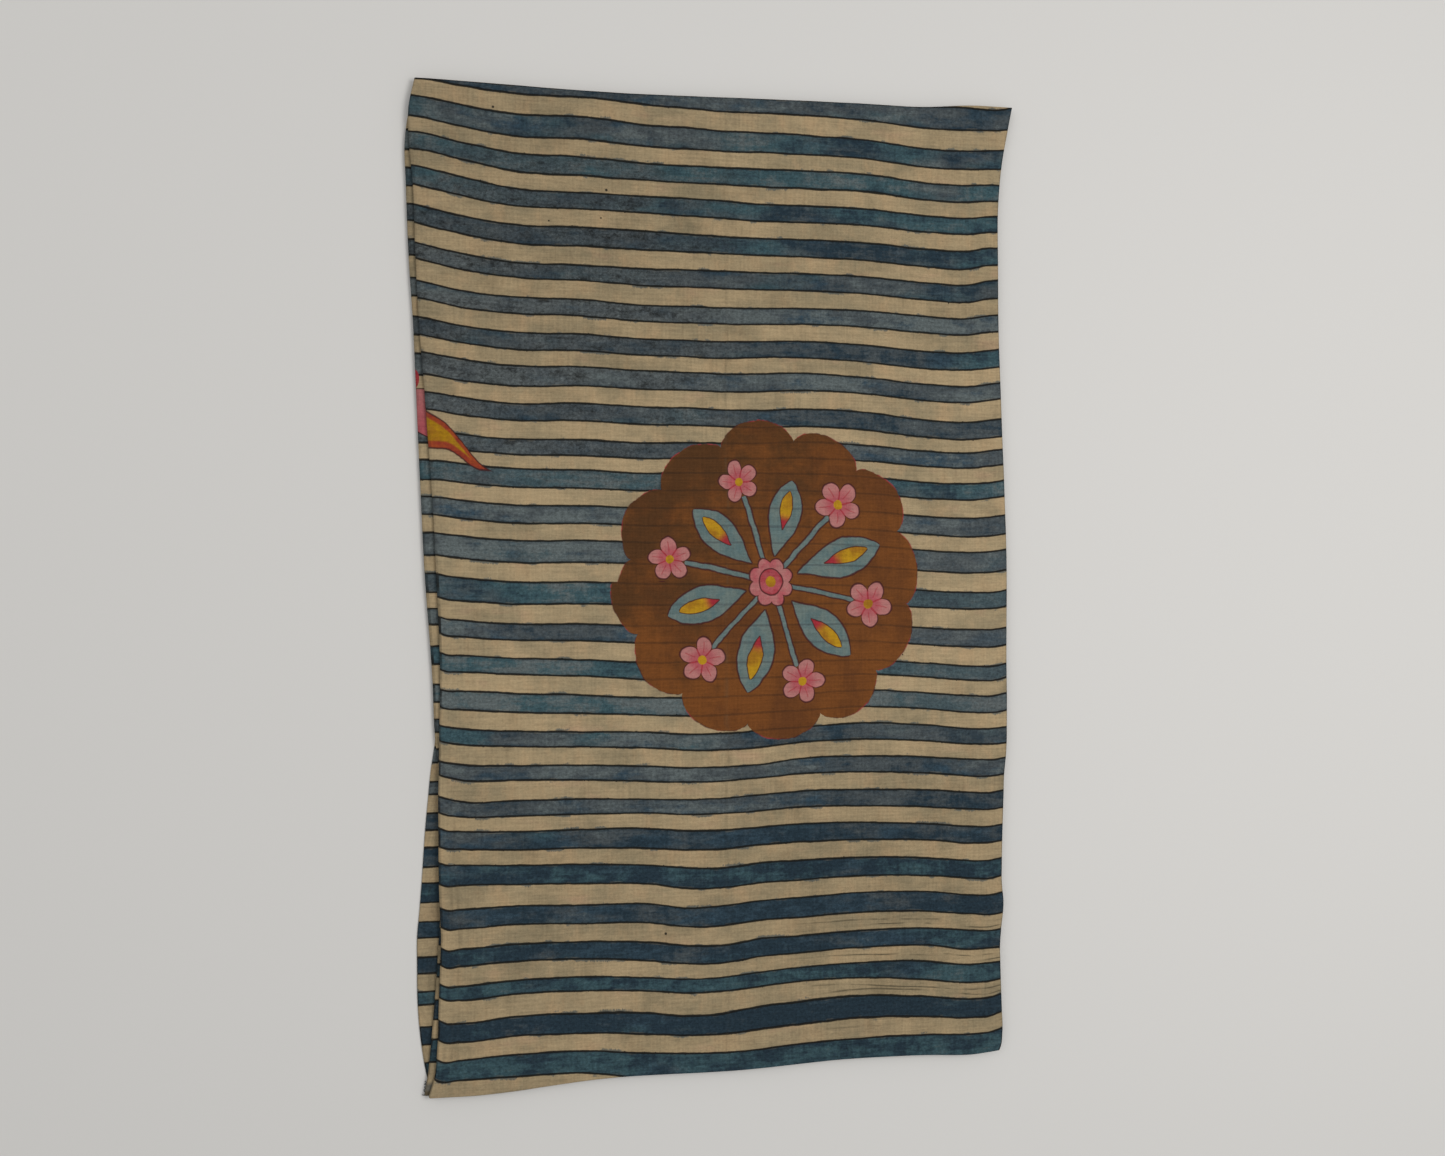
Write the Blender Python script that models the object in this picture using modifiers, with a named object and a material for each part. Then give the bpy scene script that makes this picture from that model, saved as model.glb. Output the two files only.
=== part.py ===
"""A painted cotton cloth, one cut length, lying folded back and forth in five layers.

The cloth's woven width runs along Y and its length zigzags along X. Layer 0 is on top and
layer 4 lies on the surface. Folds join the layers in turn at the left and at the right.
"""
import math

import bpy
import numpy as np

MM = 0.001

# Driving sizes
CLOTH_WIDTH = 1100 * MM
SHEET_THICKNESS = 1.2 * MM
LAYER_PITCH = 2.0 * MM
LAYER_COUNT = 5
FOLD_STEPS = 4
LENGTH_SECTIONS = 30

# Left edge of each pair of layers, and the right edge of the top layer, from the top of the
# cloth to its bottom. Sizes in millimetres from the middle.
EDGE_COLUMNS = ("up", "top_fold", "middle_fold", "bottom_end", "right_edge")
EDGES_MM = (
    (550, -336, -331, -326, 347),
    (520, -342, -341, -330, 340),
    (485, -342, -346, -334, 333),
    (440, -338, -345, -334, 328),
    (360, -335, -342, -331, 327),
    (280, -332, -337, -327, 328),
    (160, -324, -332, -322, 333),
    (30, -315, -326, -316, 338),
    (-100, -309, -317, -308, 338),
    (-165, -310, -314, -314, 338),
    (-230, -311, -308, -322, 336),
    (-330, -310, -307, -329, 331),
    (-380, -308, -310, -333, 331),
    (-440, -310, -314, -333, 330),
    (-500, -312, -319, -328, 332),
    (-555, -322, -326, -318, 331),
)

# Ends of the cloth's woven width, the two selvedges, from left to right
SELVEDGE_COLUMNS = ("across", "top", "bottom")
SELVEDGES_MM = (
    (-340, 535, -557),
    (-270, 534, -558),
    (-130, 532, -549),
    (15, 536, -550),
    (155, 540, -547),
    (240, 542, -548),
    (300, 549, -552),
    (345, 550, -550),
)

# How far each layer stands back from the top layer's selvedges and right edge
LAYER_COLUMNS = ("top_back", "bottom_back", "right_back")
LAYERS_MM = (
    (0.0, 0.0, 0.0),
    (1.5, 2.5, 4.0),
    (2.5, 1.5, 4.0),
    (1.5, 3.0, 7.0),
    (3.0, 2.0, 7.0),
)

# Old storage creases, which hold the swelling cloth down along soft lines
CREASE_COLUMNS = ("across", "from_up", "to_up", "half_width", "depth")
CREASES_MM = (
    (-296, -40, -580, 14, 0.8),
    (5, 580, -580, 18, 1.0),
    (120, 580, -580, 22, 0.4),
)
SWELL = 1.6 * MM
SWELL_MARGIN = 45 * MM
WAVE_HEIGHT = 0.3 * MM
WAVE_ACROSS = 190 * MM
WAVE_UP = 260 * MM
CREASE_END_RUN = 60 * MM

# Where the flat layers have their columns of points, from the left fold to the right end
TOP_LAYER_STATIONS = (0.0, 0.035, 0.07, 0.16, 0.30, 0.44, 0.495, 0.525, 0.56, 0.66, 0.71, 0.80, 0.91, 1.0)
HIDDEN_LAYER_STATIONS = (0.0, 0.06, 0.25, 0.5, 0.75, 0.94, 1.0)

COTTON_COLOUR = (0.26, 0.19, 0.11, 1.0)


def clear_scene():
    for item in list(bpy.data.objects):
        bpy.data.objects.remove(item, do_unlink=True)


def read_column(rows, columns, name):
    index = columns.index(name)
    return [row[index] * MM for row in rows]


def smooth_between(places, values, at):
    """Value at a place on a soft curve through a table's rows, held level past its ends."""
    order = np.argsort(places)
    xs = np.array(places)[order]
    ys = np.array(values)[order]
    at = min(max(at, xs[0]), xs[-1])
    i = int(min(max(np.searchsorted(xs, at) - 1, 0), len(xs) - 2))
    slopes = np.gradient(ys, xs)
    run = xs[i + 1] - xs[i]
    t = (at - xs[i]) / run
    start = (1 + 2 * t) * (1 - t) ** 2 * ys[i] + t * (1 - t) ** 2 * run * slopes[i]
    end = t * t * (3 - 2 * t) * ys[i + 1] + t * t * (t - 1) * run * slopes[i + 1]
    return start + end


def edge_at(name, up):
    heights = read_column(EDGES_MM, EDGE_COLUMNS, "up")
    return smooth_between(heights, read_column(EDGES_MM, EDGE_COLUMNS, name), up)


def selvedge_at(name, across):
    places = read_column(SELVEDGES_MM, SELVEDGE_COLUMNS, "across")
    return smooth_between(places, read_column(SELVEDGES_MM, SELVEDGE_COLUMNS, name), across)


def layer_back(layer, name):
    """A layer's set-back; between two layers it changes evenly round their fold."""
    backs = read_column(LAYERS_MM, LAYER_COLUMNS, name)
    return float(np.interp(layer, range(LAYER_COUNT), backs))


def layer_left(layer, up):
    """Left edge of a layer: layers 0 and 1 share a fold, so do 2 and 3, and 4 ends free."""
    names = ("top_fold", "top_fold", "middle_fold", "middle_fold", "bottom_end")
    return edge_at(names[layer], up)


def layer_right(layer, up):
    return edge_at("right_edge", up) - layer_back(layer, "right_back")


def swell_at(across, up):
    """How far the top layer stands above a tight stack, never below it."""
    left = edge_at("top_fold", up)
    right = edge_at("right_edge", up)
    side = min(across - left, right - across)
    rise = SWELL * (1 - math.exp(-max(side, 0) / SWELL_MARGIN))
    for row in CREASES_MM:
        crease = {name: size * MM for name, size in zip(CREASE_COLUMNS, row)}
        inside = min(crease["from_up"] - up, up - crease["to_up"])
        strength = min(max(inside / CREASE_END_RUN, 0), 1)
        offset = (across - crease["across"]) / crease["half_width"]
        rise -= strength * crease["depth"] * math.exp(-offset * offset)
    rise += WAVE_HEIGHT * math.sin(across / WAVE_ACROSS * math.tau) * math.cos(up / WAVE_UP * math.tau)
    return max(rise, 0)


def layer_height(layer, across, up):
    """Height of a layer's middle surface; the lowest lies flat and each above swells more."""
    steps = LAYER_COUNT - 1 - layer
    return SHEET_THICKNESS / 2 + steps * LAYER_PITCH + steps / (LAYER_COUNT - 1) * swell_at(across, up)


def fold_path():
    """Stations along the cloth, each a layer with its share of the way, or a fold with its turn."""
    path = []
    for layer in range(LAYER_COUNT):
        shares = TOP_LAYER_STATIONS if layer == 0 else HIDDEN_LAYER_STATIONS
        to_left = layer % 2 == 0
        path += [("layer", layer, share) for share in (reversed(shares) if to_left else shares)]
        if layer < LAYER_COUNT - 1:
            path += [("fold", layer, step / FOLD_STEPS) for step in range(1, FOLD_STEPS)]
    return path


def flat_ends(layer, up):
    """Where a layer's flat stretch starts and stops, clear of the rounds of its folds."""
    round_size = LAYER_PITCH / 2 + SHEET_THICKNESS / 2
    left_free = layer == LAYER_COUNT - 1
    right_free = layer == 0
    left = layer_left(layer, up) + (0 if left_free else round_size)
    right = layer_right(layer, up) - (0 if right_free else round_size)
    return left, right


def place_station(station, up_share):
    kind, layer, share = station
    up = (up_share - 0.5) * CLOTH_WIDTH
    if kind == "layer":
        left, right = flat_ends(layer, up)
        across = left + share * (right - left)
        height = layer_height(layer, across, up)
        depth = layer
    else:
        at_left = layer % 2 == 0
        start = flat_ends(layer, up)[0 if at_left else 1]
        end = flat_ends(layer + 1, up)[0 if at_left else 1]
        upper = layer_height(layer, start, up)
        lower = layer_height(layer + 1, end, up)
        radius = (upper - lower) / 2
        outward = -1 if at_left else 1
        across = start + share * (end - start) + outward * radius * math.sin(share * math.pi)
        height = (upper + lower) / 2 + radius * math.cos(share * math.pi)
        depth = layer + share
    top = selvedge_at("top", across) - layer_back(depth, "top_back")
    bottom = selvedge_at("bottom", across) + layer_back(depth, "bottom_back")
    return across, bottom + up_share * (top - bottom), height


def make_material(name, colour, roughness):
    material = bpy.data.materials.new(name)
    material.use_nodes = True
    shader = material.node_tree.nodes["Principled BSDF"]
    shader.inputs["Base Color"].default_value = colour
    shader.inputs["Roughness"].default_value = roughness
    shader.inputs["Metallic"].default_value = 0.0
    return material


def centre_on_base(cloth):
    """Moves the points so that the origin is under the middle of the finished sheet."""
    bpy.context.view_layer.update()
    finished = cloth.evaluated_get(bpy.context.evaluated_depsgraph_get())
    corners = np.array([corner[:] for corner in finished.bound_box])
    middle = (corners.min(axis=0) + corners.max(axis=0)) / 2
    for vertex in cloth.data.vertices:
        vertex.co.x -= middle[0]
        vertex.co.y -= middle[1]


def build_cloth(collection):
    path = fold_path()
    bpy.ops.mesh.primitive_grid_add(
        x_subdivisions=len(path) - 1, y_subdivisions=LENGTH_SECTIONS, size=2, location=(0, 0, 0))
    cloth = bpy.context.object
    cloth.name = "folded_cloth"
    cloth.data.name = "folded_cloth"
    for vertex in cloth.data.vertices:
        station = path[round((vertex.co.x + 1) / 2 * (len(path) - 1))]
        vertex.co = place_station(station, (vertex.co.y + 1) / 2)
    cloth.data.shade_smooth()
    sheet = cloth.modifiers.new("Sheet", "SOLIDIFY")
    sheet.thickness = SHEET_THICKNESS
    sheet.offset = 0.0
    centre_on_base(cloth)
    cloth.data.materials.append(make_material("painted_cotton", COTTON_COLOUR, 0.9))
    for home in list(cloth.users_collection):
        home.objects.unlink(cloth)
    collection.objects.link(cloth)
    return cloth


def main():
    clear_scene()
    collection = bpy.data.collections.new("painted_cloth_panel")
    bpy.context.scene.collection.children.link(collection)
    build_cloth(collection)


main()
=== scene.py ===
import math

import bpy
import numpy as np
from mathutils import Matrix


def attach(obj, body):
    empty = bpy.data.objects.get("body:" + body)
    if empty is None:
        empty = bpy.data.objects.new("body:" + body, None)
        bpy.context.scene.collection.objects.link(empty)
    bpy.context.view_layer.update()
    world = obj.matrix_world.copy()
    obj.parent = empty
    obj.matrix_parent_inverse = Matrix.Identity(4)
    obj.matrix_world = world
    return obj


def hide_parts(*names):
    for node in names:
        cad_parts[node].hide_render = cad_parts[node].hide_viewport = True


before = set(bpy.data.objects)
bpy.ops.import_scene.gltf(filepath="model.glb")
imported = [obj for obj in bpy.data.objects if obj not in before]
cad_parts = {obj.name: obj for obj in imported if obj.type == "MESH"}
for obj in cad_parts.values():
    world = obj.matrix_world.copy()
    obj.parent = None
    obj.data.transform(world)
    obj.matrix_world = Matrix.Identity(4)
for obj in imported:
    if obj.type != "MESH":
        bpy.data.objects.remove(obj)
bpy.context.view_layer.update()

# The cloth lies folded back and forth in five layers, woven width along Y. Tables are in
# millimetres from the middle of the lying cloth, and its pattern uses the same millimetres.
MM = 0.001
CLOTH_WIDTH = 1100
SHEET_THICKNESS = 0.7
LAYER_PITCH = 2.0
LAYER_COUNT = 5

# Left fold of each pair of layers, the end under the stack, and the top layer's right edge
EDGE_COLUMNS = ("up", "top_fold", "middle_fold", "bottom_end", "right_edge")
EDGES = (
    (550, -336, -331, -326, 347),
    (520, -342, -341, -330, 341),
    (485, -342, -346, -334, 334.5),
    (440, -338, -345, -334, 330),
    (360, -335, -342, -331, 329.5),
    (280, -330.8, -337, -327, 330.5),
    (220, -326, -334.5, -324.5, 332.8),
    (160, -321.8, -332, -322, 335),
    (105, -317.8, -329.5, -319.5, 337.3),
    (30, -313.9, -326, -316, 340),
    (-100, -309, -317, -308, 340),
    (-165, -310, -314, -314, 340.5),
    (-205, -310.5, -309.5, -319.5, 339.6),
    (-228, -311, -308.2, -321.5, 337.2),
    (-253, -310.8, -307.8, -323.8, 336.4),
    (-330, -310, -307, -329, 334.3),
    (-355, -309, -308.4, -331, 334.2),
    (-378, -308, -310, -333, 336.3),
    (-410, -309, -312, -333, 333.2),
    (-428, -309.6, -313.2, -333, 331.9),
    (-445, -310.2, -314.4, -332.7, 332.3),
    (-500, -312, -319, -328, 334.2),
    (-530, -315, -322, -323, 335),
    (-547, -320, -325, -319, 332.5),
    (-555, -322, -326, -318, 328),
)
# Ends of the woven width, from left to right
SELVEDGE_COLUMNS = ("across", "top", "bottom")
SELVEDGES = (
    (-340, 535, -557),
    (-270, 534.5, -558),
    (-130, 533.5, -549.5),
    (15, 537.5, -551.5),
    (155, 541.5, -548),
    (240, 543, -550),
    (300, 549, -553.5),
    (345, 550, -550),
)
# How far each layer, from the top one down, stands back from the selvedges and the right edge
LAYER_COLUMNS = ("top_back", "bottom_back", "right_back")
LAYERS = (
    (0.0, 0.0, 0.0),
    (1.5, 2.5, 4.0),
    (2.5, 1.5, 4.0),
    (1.5, 3.0, 7.0),
    (3.0, 2.0, 7.0),
)

# Creases: where each runs at the top and bottom of the cloth, how far it reaches, how wide it
# is, and how deep its trough is, or how high its ridge where the depth is below zero
CREASE_COLUMNS = ("across_top", "across_bottom", "from_up", "to_up", "half_width", "depth")
CREASES = (
    (3, 8, 580, -580, 16, 0.9),
    (4, 7, 580, -580, 2.2, -0.45),
    (-302, -309, -60, -580, 4.0, 0.55),
    (-294, -296, -260, -580, 1.8, 0.65),
    (-288, -290.5, -280, -580, 1.6, 0.5),
    (-296, -298, -40, -580, 14, 0.6),
    (121, 118, 580, -580, 20, 0.5),
    (121, 118, 400, -580, 2.6, -0.20),
    (-331, -321, 580, 120, 2.6, 0.55),
    (318, 312, 580, -580, 5.0, 0.30),
)
CREASE_END_RUN = 60
# Creases this narrow also get a faint line of painted shade, and so does one on the lowest strip
SHARP_CREASE = 2.5
CREASE_SHADE_HALF_WIDTH = 1.1
STRIP_CREASE = (-300, -323, -290, -535, 1.5, 0.3)
# The air in the stack lifts its top layer this much, and all but nothing at its edges
SWELL = 1.6
SWELL_MARGIN = 45
# Soft waves of the top layer: height, length across, length up, and turn
WAVES = (
    (0.30, 190, 260, 0.0),
    (0.16, 83, 140, 0.6),
    (0.10, 47, 61, 0.3),
)

# Painted stripes, from the top: each blue band and the plain band below it, at the top
# layer's left fold and at its right edge, and how thinly the blue was laid on
STRIPE_COLUMNS = ("blue_left", "plain_left", "blue_right", "plain_right", "paleness")
STRIPES = (
    (0.4, 18.5, 24, 24.5, 0),
    (22, 17, 22, 19, 0),
    (18, 18, 18.5, 18, 1),
    (20, 21.5, 18, 18.5, -1),
    (19, 21.5, 19.5, 18, -2),
    (17, 24, 21, 19.5, 0),
    (18.5, 20.5, 19, 21, 2),
    (18.5, 18.5, 20, 19, -1),
    (23.5, 19, 18.5, 23.5, 1),
    (19, 22.5, 20, 15, -1),
    (17, 15, 17.5, 19, 0),
    (20.5, 19, 18.5, 21.5, 0),
    (19, 19, 21.5, 18.5, 1),
    (23.5, 20.5, 24, 23.5, 1),
    (24.5, 21, 19, 24.5, -1),
    (17.5, 20.5, 20, 22, 0),
    (18.5, 21, 16, 18.5, 0),
    (19, 19.5, 20, 19.5, 2),
    (16.5, 21.5, 18.5, 17.5, 0),
    (15, 23, 19, 19, 1),
    (17.5, 17, 20, 20, 0),
    (20, 17.5, 18.5, 20.5, 0),
    (23, 26, 20.5, 19.5, -1),
    (20.5, 22.5, 24, 19, 0),
    (18, 20.5, 20.5, 17.5, -1),
    (14, 25, 20.5, 17, 0),
    (21, 21, 21, 19, -2),
    (19, 19.5, 24.5, 2, 0),
)
STRIPES_START_LEFT = 535
STRIPES_START_RIGHT = 548.5

# How far the painted lines hang below a straight run from the left fold to the right edge. The
# first two columns are at the fold and just inside it, the last two just inside the right edge
# and at it, and the others at these places across.
SAG_PLACES = (-288, -230, -160, -80, -40, 0, 44, 88, 170, 242, 298)
NEAR_FOLD = 7
NEAR_RIGHT = 14
# Each row: up, fold, near fold, one for each place, near the right edge, right edge
SAGS = (
    (535, 0, 0, 3.5, 7, 5.3, 7, 8, 8, 6.6, 5, 4.2, 7.5, 5, 2.4, 0.3),
    (500, 0, 0.2, 6.5, 11, 7.6, 9.5, 8.3, 8.5, 6.6, 5, 4.2, 7.8, 5, 2.4, 0.5),
    (455, 0, 0.2, 7, 13.8, 12.3, 12.5, 11.5, 9.5, 7.6, 5.4, 2.5, 6.2, 4, 1.8, 0.8),
    (425, 0, 1.2, 8, 16.5, 14.8, 12.5, 11.5, 10.2, 10.2, 8.4, 5.7, 7.4, 5.2, 2.2, 1),
    (395, 0, 1.5, 8.7, 14.6, 12.1, 11.5, 11.4, 11, 10.6, 8.5, 6.2, 8, 5.8, 2.5, 1.1),
    (350, 0, 1.8, 9.2, 15.9, 14.3, 13.5, 12.2, 10.8, 10, 8.5, 7.4, 10, 8, 3, 1.2),
    (300, 0, 0.9, 8, 11.7, 10.5, 13.5, 11.8, 11, 9.6, 7, 5.5, 7.8, 6.8, 2.8, 1.3),
    (250, 0, 1.2, 6.2, 11, 9, 10.2, 9.5, 9.2, 6, 3.5, 4.8, 8.7, 6.7, 3.6, 1.4),
    (190, 0, 0.5, 4.7, 8.7, 5.2, 6.3, 5.3, 5.4, 4.6, 0.8, 1.5, 6.9, 6.9, 3.5, 1.5),
    (130, 0, 0, 2.7, 6.2, 5.5, 6.9, 5, 4, 3, 1.5, 2.8, 6.9, 6.9, 3.7, 1.7),
    (40, 0, 0.8, 2.8, 6.4, 4.4, 4.5, 3.5, 2.5, 2, 1.5, 2, 6, 6.8, 4.4, 1.9),
    (-60, 0.6, 3.2, 4.3, 7, 6.2, 7, 6, 5.5, 4.4, 3.3, 1.1, 4.4, 5.4, 4.8, 2.1),
    (-125, 1, 3, 3, 5, 6.3, 9.2, 8.5, 7.8, 6, 4.5, 0, 3, 6.1, 5.7, 2.2),
    (-165, 1.2, 3, 4.8, 7.4, 8, 8.7, 10.5, 9.5, 6, 3, -2.2, 0.4, 4.8, 4.3, 2.2),
    (-200, 1.5, 3.5, 5.5, 6.8, 7.2, 8.8, 11.1, 10.8, 8.2, 1.9, -1, 0.7, 4, 4.2, 2.2),
    (-235, 1.2, 3.5, 7.5, 7.1, 6.2, 8.9, 9.3, 8.3, 4.6, 0.6, -0.5, 0.6, 4.6, 4.6, 2.2),
    (-270, 1, 3.5, 4.7, 5.4, 3.7, 3, 6.1, 5.3, 2.5, -0.5, -1.7, 0.6, 3.8, 4.5, 2.2),
    (-305, 0.8, 3.2, 3.6, 4.7, 4, 6.3, 7.9, 8, 3.2, 1.2, -1.1, 0.4, 4.8, 4.4, 2.2),
    (-340, 0.5, 3, 1.9, 1.3, 2.1, 4.3, 10, 10.4, 5.4, 3.1, -0.9, 0.9, 5, 5.1, 2.2),
    (-370, 0.3, 3.2, 2.8, -0.6, 1.2, 2.5, 8.5, 7.3, 2.4, 0.6, -3.7, -1.9, 4.3, 5.1, 2.2),
    (-400, 0, 3.5, 2.4, -1.1, -1.4, 1.8, 6.8, 7.8, 2.6, 1.1, -2.9, -2.1, 2.2, 3.8, 2.1),
    (-430, 0, 3.5, 2.9, -0.5, -1.4, 4.2, 8.4, 9.4, 3, 0.4, -3.5, -3, 4, 3.3, 2.1),
    (-460, 0, 3.5, 4.6, -0.5, -1.4, 1, 4.9, 4.2, 0.5, -3.8, -5.5, -0.4, 4.2, 3.6, 2.1),
    (-490, 0, 3.5, 4.4, 0, 0.7, 4.9, 9.4, 8.6, 3.4, 1.5, -2.1, 1.3, 6.6, 5.8, 2),
    (-520, 0, 3.5, 2.5, -0.6, -1.1, 6.5, 8.9, 11, 9.4, 6.3, 3.8, 4.5, 7.2, 6.4, 2),
)

# How far down the stripes stand on the middle fold and on the bottom end, against the top fold
SHIFT_COLUMNS = ("up", "middle_fold", "bottom_end")
SHIFTS = (
    (550, -3, 10),
    (481, -3, 11.5),
    (445, 2, 12),
    (397, -1.5, 13),
    (356, -4, 14),
    (316, -3.5, 14.7),
    (274, -1, 15.5),
    (235, 1.5, 16.3),
    (154, -5, 18.3),
    (119, 0, 19),
    (81, -1, 20),
    (2, -1, 22),
    (-37, -8.5, 22.4),
    (-78, -5.5, 22.8),
    (-155, -5.5, 23.8),
    (-180, -10, 25.5),
    (-221, -14, 24.5),
    (-256, -17, 20.5),
    (-300, -18, 23.5),
    (-347, -19, 22),
    (-380, -20, 14),
    (-440, -20.5, 10),
    (-480, -21, 9),
    (-495, -21, 7.5),
    (-520, -16, 5.5),
    (-555, -15, 4),
)

# The first blue runs up to the top edge, but for a plain sliver near the right-hand corner
SLIVER_ACROSS = (240, 257, 290, 318, 338, 347)
SLIVER_DEPTH = (-0.4, 0.4, 2.5, 4.5, 2.5, 0.0)
# The last blue is wider than its table says, and then runs off the bottom edge
LAST_BLUE_ACROSS = (-330, -285, -230, -140, -110, -80)
LAST_BLUE_EXTRA = (0, 2, 4, 4.5, 6, 14)

# Spots of ink on the plain stripes: across, up, and how far they reach
INK_SPOTS = (
    (-253, 509, 1.3),
    (-130, 426, 1.4),
    (-136, 395, 0.9),
    (-193, 389, 0.9),
    (-64, -394, 1.4),
    (212, -88, 0.8),
    (268, 318, 0.8),
)


def read_column(rows, columns, name):
    return np.array([row[columns.index(name)] for row in rows], dtype=float)


def smooth_between(places, values, at):
    """Values on a soft curve through a table's rows, held level past its ends."""
    order = np.argsort(places)
    xs = np.asarray(places, dtype=float)[order]
    ys = np.asarray(values, dtype=float)[order]
    at = np.clip(at, xs[0], xs[-1])
    i = np.clip(np.searchsorted(xs, at) - 1, 0, len(xs) - 2)
    slopes = np.gradient(ys, xs)
    run = xs[i + 1] - xs[i]
    t = (at - xs[i]) / run
    start = (1 + 2 * t) * (1 - t) ** 2 * ys[i] + t * (1 - t) ** 2 * run * slopes[i]
    end = t * t * (3 - 2 * t) * ys[i + 1] + t * t * (t - 1) * run * slopes[i + 1]
    return start + end


def edge_at(name, up):
    return smooth_between(
        read_column(EDGES, EDGE_COLUMNS, "up"), read_column(EDGES, EDGE_COLUMNS, name), up)


def selvedge_at(name, across):
    return smooth_between(
        read_column(SELVEDGES, SELVEDGE_COLUMNS, "across"),
        read_column(SELVEDGES, SELVEDGE_COLUMNS, name), across)


def layer_back(layer, name):
    """How far a layer stands back. Between whole layers it is in a fold between the two."""
    return float(np.interp(layer, range(LAYER_COUNT), read_column(LAYERS, LAYER_COLUMNS, name)))


def layer_left(layer, up):
    names = ("top_fold", "top_fold", "middle_fold", "middle_fold", "bottom_end")
    return edge_at(names[layer], up)


def layer_right(layer, up):
    return edge_at("right_edge", up) - layer_back(layer, "right_back")


def crease_share(crease, across, up, half_width):
    """How much of a crease's depth there is at a place, over the half width asked for."""
    inside = np.minimum(crease["from_up"] - up, up - crease["to_up"])
    strength = np.clip(inside / CREASE_END_RUN, 0, 1)
    share_up = up / CLOTH_WIDTH + 0.5
    line = crease["across_bottom"] + share_up * (crease["across_top"] - crease["across_bottom"])
    wander = 1.2 * np.sin(up / 37) + 0.8 * np.sin(up / 15.3 + crease["half_width"])
    offset = (across - line - wander) / half_width
    unevenness = 0.8 + 0.2 * np.sin(up / 61 + crease["across_top"])
    return strength * unevenness * np.exp(-offset * offset)


def swell_at(across, up):
    """How far the top layer stands above a tight stack."""
    side = np.minimum(across - edge_at("top_fold", up), edge_at("right_edge", up) - across)
    rise = SWELL * (1 - np.exp(-np.maximum(side, 0) / SWELL_MARGIN))
    for row in CREASES:
        crease = dict(zip(CREASE_COLUMNS, row))
        rise = rise - crease["depth"] * crease_share(crease, across, up, crease["half_width"])
    for height, length_across, length_up, turn in WAVES:
        bend = across / length_across * math.tau + turn * np.sin(up / 90)
        rise = rise + height * np.sin(bend) * np.cos(up / length_up * math.tau + turn)
    return np.maximum(rise, 0)


def layer_height(layer, across, up):
    """Height of a layer's middle surface. Each layer takes its share of the top one's swell."""
    steps = LAYER_COUNT - 1 - layer
    swell_share = steps / (LAYER_COUNT - 1)
    return SHEET_THICKNESS / 2 + steps * LAYER_PITCH + swell_share * swell_at(across, up)


def flat_ends(layer, up):
    """Where a layer's flat stretch starts and stops, clear of the rounds of its folds."""
    round_size = LAYER_PITCH / 2 + SHEET_THICKNESS / 2
    left = layer_left(layer, up) + (0 if layer == LAYER_COUNT - 1 else round_size)
    right = layer_right(layer, up) - (0 if layer == 0 else round_size)
    return left, right


def shares(count, edge_steps, whole):
    """Places from 0 to 1: close together near both ends and evenly spaced between."""
    near = np.array(edge_steps) / whole
    return np.concatenate([near, np.linspace(near[-1], 1 - near[-1], count)[1:-1], 1 - near[::-1]])


# The mesh's columns and rows, and how close together they start at an edge
EDGE_STEPS = (0, 0.7, 1.6, 2.8, 4.4, 6.5, 9, 12)
SELVEDGE_STEPS = (0, 1.2, 2.4, 3.8, 5.4, 7.2, 9.4, 12)
TOP_COLUMNS = 102
HIDDEN_COLUMNS = 9
ROWS = 166
LAYER_LENGTH = 650
TOP_LENGTH = 665
FOLD_STEPS = 6
# Stretches of the top layer with narrow creases: from, to, and how many columns they need
FINE_STRETCHES = ((0.022, 0.072, 18), (0.484, 0.512, 10), (0.657, 0.683, 8))
FINE_CLEARANCE = 0.003


def top_shares():
    """The top layer's columns, closer together where its narrow creases run."""
    places = shares(TOP_COLUMNS, EDGE_STEPS, TOP_LENGTH)
    for start, stop, count in FINE_STRETCHES:
        clear = (places < start - FINE_CLEARANCE) | (places > stop + FINE_CLEARANCE)
        places = np.concatenate([places[clear], np.linspace(start, stop, count)])
    return np.sort(places)


ROWS_UP = shares(ROWS, SELVEDGE_STEPS, CLOTH_WIDTH)
TOP_SHARES = top_shares()
HIDDEN_SHARES = shares(HIDDEN_COLUMNS, EDGE_STEPS, LAYER_LENGTH)


def fold_path():
    """Columns along the cloth, from the free end under the stack to the one on top of it."""
    path = []
    for layer in reversed(range(LAYER_COUNT)):
        places = TOP_SHARES if layer == 0 else HIDDEN_SHARES
        to_right = layer % 2 == 0
        path += [("layer", layer, share) for share in (places if to_right else places[::-1])]
        if layer > 0:
            path += [("fold", layer - 1, 1 - step / FOLD_STEPS) for step in range(1, FOLD_STEPS)]
    return path


def place_column(station, up_share):
    """One column of the sheet's middle surface: across, up and height of each of its points."""
    kind, layer, share = station
    up = (up_share - 0.5) * CLOTH_WIDTH
    if kind == "layer":
        left, right = flat_ends(layer, up)
        across = left + share * (right - left)
        height = layer_height(layer, across, up)
        depth = layer
    else:
        side = 0 if layer % 2 == 0 else 1
        start = flat_ends(layer, up)[side]
        end = flat_ends(layer + 1, up)[side]
        upper = layer_height(layer, start, up)
        lower = layer_height(layer + 1, end, up)
        radius = (upper - lower) / 2
        outward = -1 if side == 0 else 1
        across = start + share * (end - start) + outward * radius * math.sin(share * math.pi)
        height = (upper + lower) / 2 + radius * math.cos(share * math.pi)
        depth = layer + share
    top = selvedge_at("top", across) - layer_back(depth, "top_back")
    bottom = selvedge_at("bottom", across) + layer_back(depth, "bottom_back")
    return across, bottom + up_share * (top - bottom), height


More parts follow.
